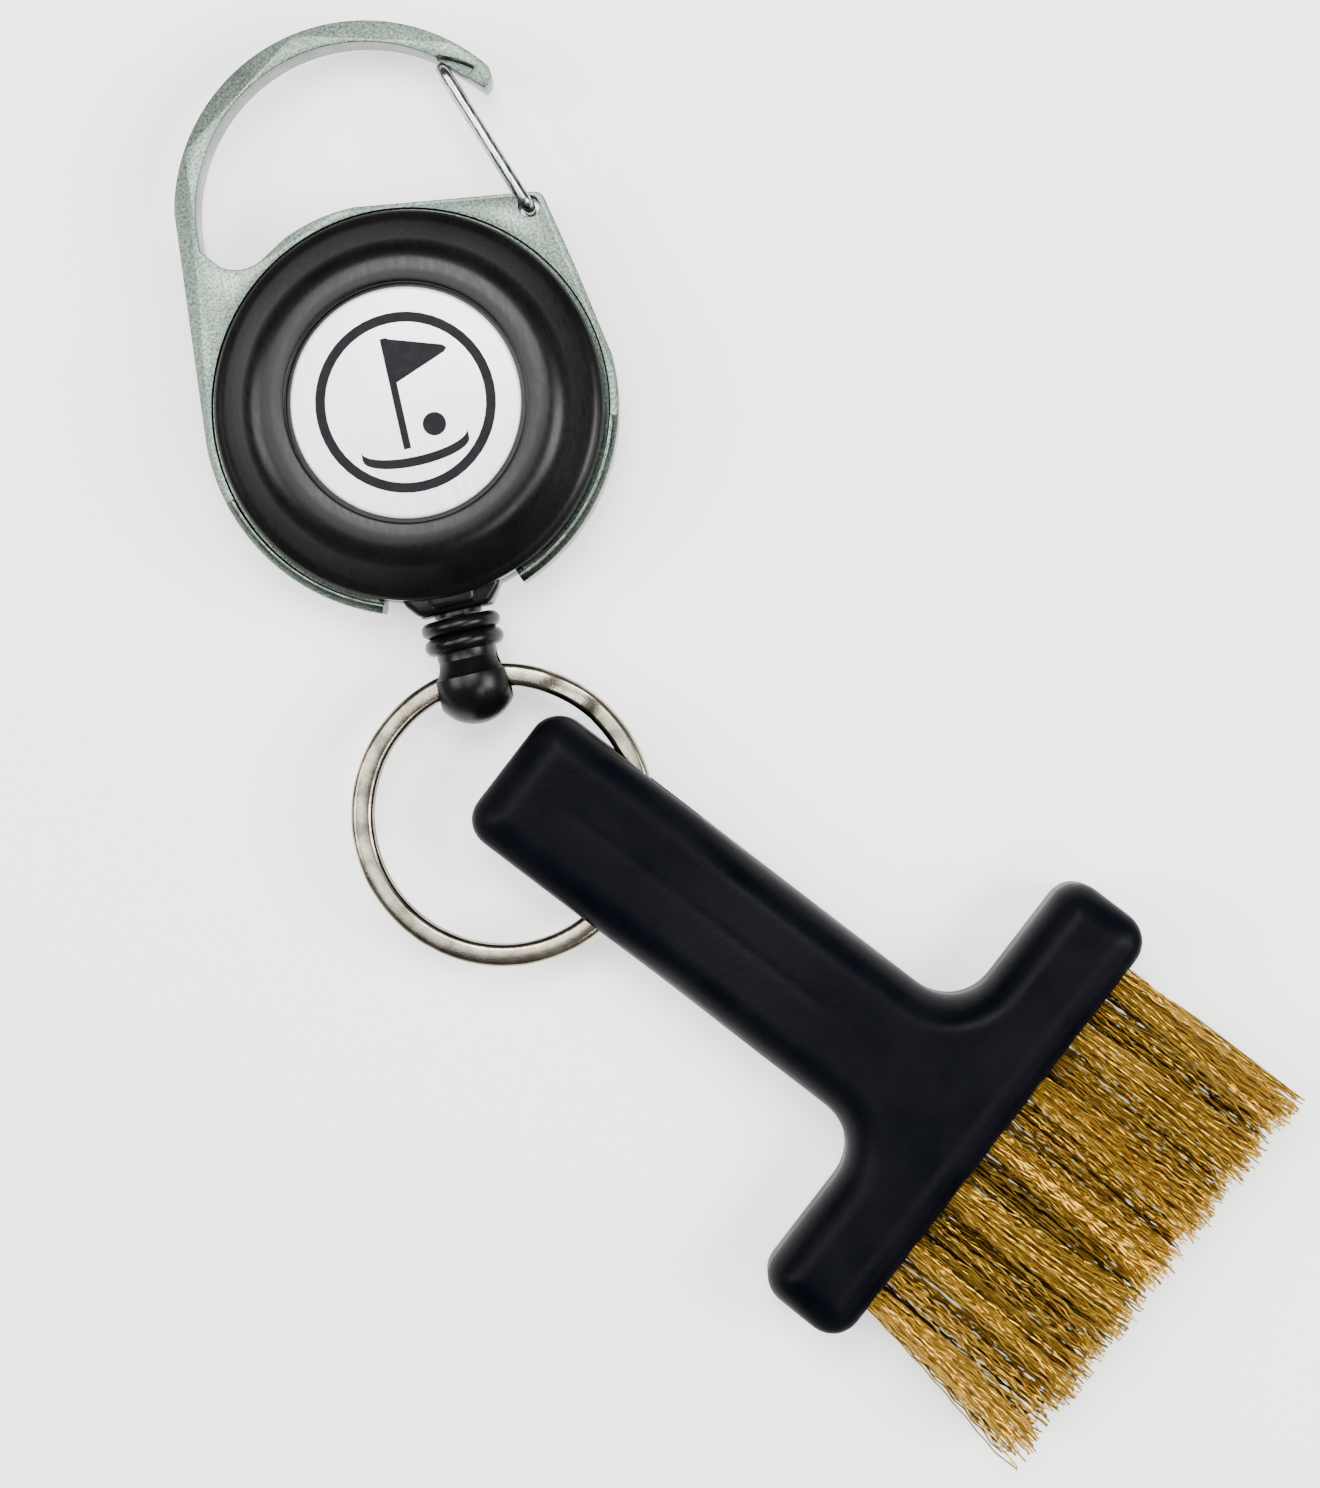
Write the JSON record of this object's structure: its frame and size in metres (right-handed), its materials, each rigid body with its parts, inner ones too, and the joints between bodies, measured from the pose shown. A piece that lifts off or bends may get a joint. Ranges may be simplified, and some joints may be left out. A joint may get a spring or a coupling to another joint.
{
  "type": "club groove brush",
  "caption": "T-shaped brass-wire groove brush on a split ring, hung from a retractable cord reel with a carabiner hook.",
  "frame": {"origin": "centre of the reel's flat back face", "axes": "+Z out of the reel's front, +Y along the reel towards the top of the hook, the cord leaves towards -Y"},
  "size_m": [0.0759, 0.1277, 0.0116],
  "materials": {
    "satin_zinc": "satin die cast",
    "spring_wire": "drawn wire",
    "black_gloss": "gloss black",
    "grey_plastic": "matte",
    "label_silver": "satin",
    "cord_black": "braided",
    "nickel": "nickel plated",
    "black_matte": "matte moulded",
    "brass_wire": "crimped wire"
  },
  "bodies": {
    "reel": {"carabiner_frame": "satin_zinc", "front_cover": "black_gloss", "back_cover": "black_gloss", "label_disc": "label_silver", "centre_post": "spring_wire", "cover_screw": "spring_wire", "cord_lead": "cord_black", "outlet_guide": "grey_plastic", "mainspring": "spring_wire"},
    "gate": {"gate_wire": "spring_wire"},
    "spool_drum": {"spool": "grey_plastic", "cord_coil": "cord_black"},
    "cord_line": {"cord_run": "cord_black", "cord_knot": "cord_black"},
    "fitting": {"end_fitting": "black_gloss"},
    "ring": {"split_ring": "nickel"},
    "brush": {"brush_handle": "black_matte", "tufts_front_row": "brass_wire", "tufts_middle_row": "brass_wire", "tufts_back_row": "brass_wire", "anchors_front_row": "spring_wire", "anchors_middle_row": "spring_wire", "anchors_back_row": "spring_wire"}
  },
  "joints": [
    {"name": "gate_swing", "type": "hinge", "parent": "reel", "child": "gate", "pos_m": [0.01306, 0.0139, 0.005], "axis": [0, 0, 1], "range_deg": [0, 45], "stiffness_Nm_per_rad": 0.02, "springref_deg": -8.59},
    {"name": "cord_pull", "type": "slide", "parent": "reel", "child": "cord_line", "axis": [0, -1, 0], "range_m": [0, 0.6], "stiffness_N_per_m": 1.5, "springref_m": -0.8},
    {"name": "spool_spin", "type": "hinge", "parent": "reel", "child": "spool_drum", "pos_m": [0, 0, 0.004], "axis": [0, 0, 1], "continuous": true, "deforming": ["mainspring"]},
    {"name": "fitting_twist", "type": "hinge", "parent": "cord_line", "child": "fitting", "pos_m": [0, -0.0175, 0.005], "axis": [0, 1, 0], "continuous": true},
    {"name": "ring_swing", "type": "hinge", "parent": "fitting", "child": "ring", "pos_m": [0, -0.02293, 0.005], "axis": [1, 0, 0], "range_deg": [-85, 85]},
    {"name": "brush_turn", "type": "hinge", "parent": "ring", "child": "brush", "pos_m": [0, -0.03422, 0.005], "axis": [0, 0, 1], "range_deg": [-150, 15]}
  ],
  "couplings": [
    {"joint": "spool_spin", "follows": "cord_pull", "rad_per_m": 85.5}
  ]
}
